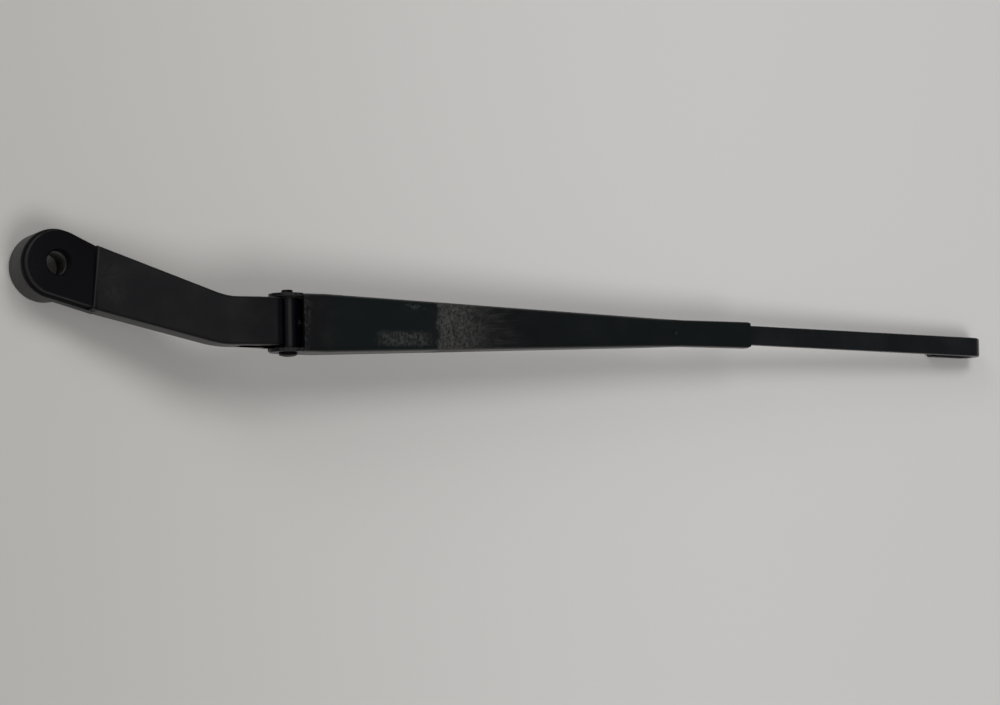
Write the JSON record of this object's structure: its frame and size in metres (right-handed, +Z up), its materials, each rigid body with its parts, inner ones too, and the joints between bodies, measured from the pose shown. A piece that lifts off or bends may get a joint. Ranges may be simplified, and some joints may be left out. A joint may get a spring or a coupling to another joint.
{
  "type": "windscreen wiper arm",
  "caption": "Sprung car windscreen wiper arm with a cranked cast head, a folded tapering retainer and a flat bar ending in a J hook.",
  "frame": {"origin": "on the spindle axis, at the base of the head's boss", "axes": "+Z up the spindle, away from the car, +X along the retainer and bar towards the hook, +Y away from the side the arm is offset to"},
  "size_m": [0.4839, 0.0556, 0.0482],
  "materials": {
    "head_paint": "satin",
    "sheet_paint": "satin",
    "bar_paint": "satin",
    "pin_steel": "satin",
    "plated_steel": "satin",
    "link_steel": "satin",
    "spring_steel": "satin",
    "bush_plastic": "matte"
  },
  "bodies": {
    "head": {"arm_head": "head_paint", "hinge_bush_near": "bush_plastic", "hinge_bush_far": "bush_plastic", "anchor_pin": "plated_steel"},
    "arm": {"retainer": "sheet_paint", "hook_bar": "bar_paint", "hinge_pin": "pin_steel"},
    "link": {"spring_link": "link_steel", "tension_spring": "spring_steel"}
  },
  "joints": [
    {"name": "arm_lift", "type": "hinge", "parent": "head", "child": "arm", "pos_m": [0.0974, -0.0259, 0.04], "axis": [0, -1, 0], "range_deg": [0, 60], "stiffness_Nm_per_rad": 1, "springref_deg": -85.94, "deforming": ["tension_spring"]},
    {"name": "link_swing", "type": "hinge", "parent": "head", "child": "link", "pos_m": [0.09294, -0.0259, 0.03195], "axis": [0, -1, 0], "range_deg": [0, 57.2]}
  ],
  "couplings": [
    {"joint": "link_swing", "follows": "arm_lift", "ratio": 0.9517}
  ]
}
